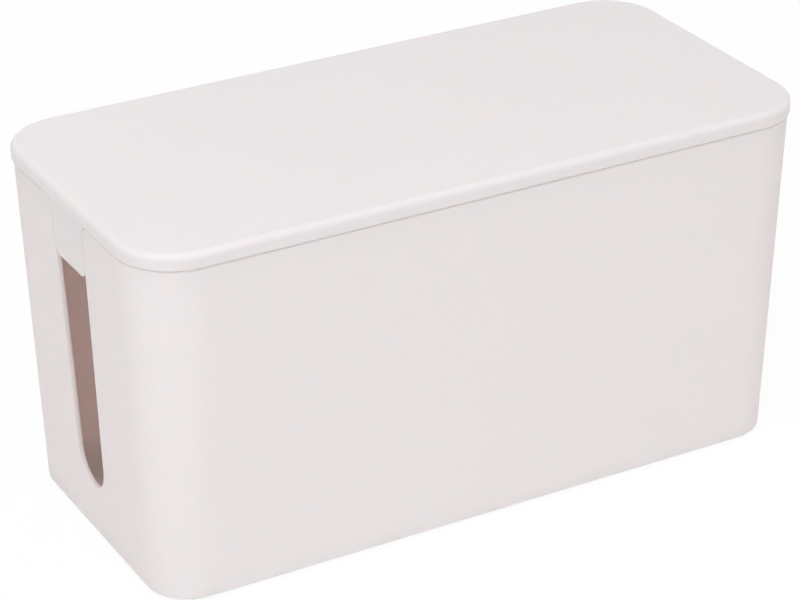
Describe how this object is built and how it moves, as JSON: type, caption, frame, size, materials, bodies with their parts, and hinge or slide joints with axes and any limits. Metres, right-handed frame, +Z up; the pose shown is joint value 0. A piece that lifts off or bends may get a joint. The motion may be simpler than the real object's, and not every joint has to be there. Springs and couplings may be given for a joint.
{
  "type": "cable management box",
  "caption": "Rectangular desk box with leaning walls, rounded corners, a round-ended cable slot in each end wall and a lift-off lid whose end tabs close the tops of the slots.",
  "frame": {"origin": "on the desk, under the middle of the box", "axes": "+X along the box, +Y from the front wall to the back wall, +Z up"},
  "size_m": [0.235, 0.112, 0.121],
  "materials": {
    "white_abs": "fine satin moulded white ABS",
    "foot_rubber": "matt moulded grey rubber"
  },
  "bodies": {
    "base": {"tub": "white_abs", "foot_front_left": "foot_rubber", "foot_front_right": "foot_rubber", "foot_rear_left": "foot_rubber", "foot_rear_right": "foot_rubber"},
    "lid": {"lid": "white_abs"}
  },
  "joints": [
    {"name": "lid_lift", "type": "slide", "parent": "base", "child": "lid", "axis": [0, 0, 1], "range_m": [0, 0.08]}
  ]
}
